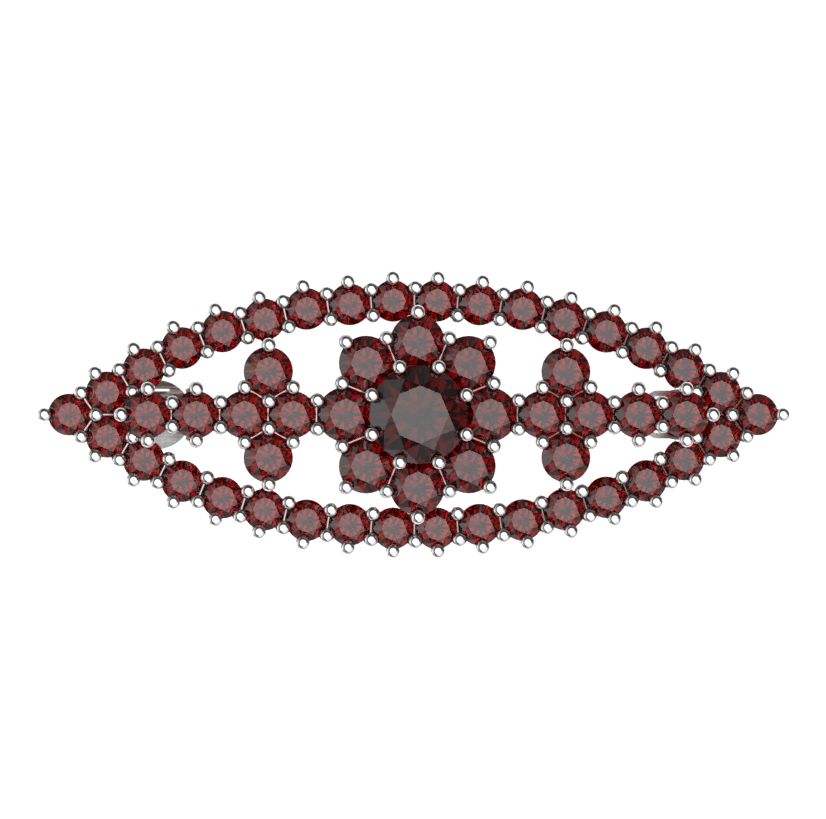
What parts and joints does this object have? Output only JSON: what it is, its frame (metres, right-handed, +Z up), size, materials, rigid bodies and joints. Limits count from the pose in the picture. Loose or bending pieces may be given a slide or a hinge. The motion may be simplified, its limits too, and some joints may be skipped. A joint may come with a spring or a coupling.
{
  "type": "garnet brooch",
  "caption": "Eye-shaped openwork brooch of white silver, prong set with round garnets: a border, a straight row, a cross at each side and a flower, with a pin, catch and hinge behind.",
  "frame": {"origin": "under the brooch's centre, on the surface it lies on", "axes": "+X along the length, from the catch to the hinge; +Y across, towards the upper border; +Z up, out of the face"},
  "size_m": [0.047, 0.0178, 0.0078],
  "materials": {
    "silver": "polished white silver",
    "pin_steel": "drawn and burnished",
    "garnet": "cut and polished",
    "garnet_dark": "cut and polished"
  },
  "bodies": {
    "root": {"setting": "silver", "pin_stem": "pin_steel", "centre_stone": "garnet_dark", "petal_stone_1": "garnet", "petal_stone_2": "garnet", "petal_stone_3": "garnet", "petal_stone_4": "garnet", "petal_stone_5": "garnet", "petal_stone_6": "garnet", "petal_stone_7": "garnet", "petal_stone_8": "garnet", "row_stone_left_1": "garnet", "row_stone_left_2": "garnet", "row_stone_left_3": "garnet", "row_stone_left_4": "garnet", "row_stone_right_1": "garnet", "row_stone_right_2": "garnet", "row_stone_right_3": "garnet", "row_stone_right_4": "garnet", "cross_stone_upper_left": "garnet", "cross_stone_upper_right": "garnet", "cross_stone_lower_left": "garnet", "cross_stone_lower_right": "garnet", "tip_stone_left": "garnet", "tip_stone_right": "garnet", "border_stones_upper": "garnet", "border_stones_lower": "garnet"}
  },
  "joints": []
}
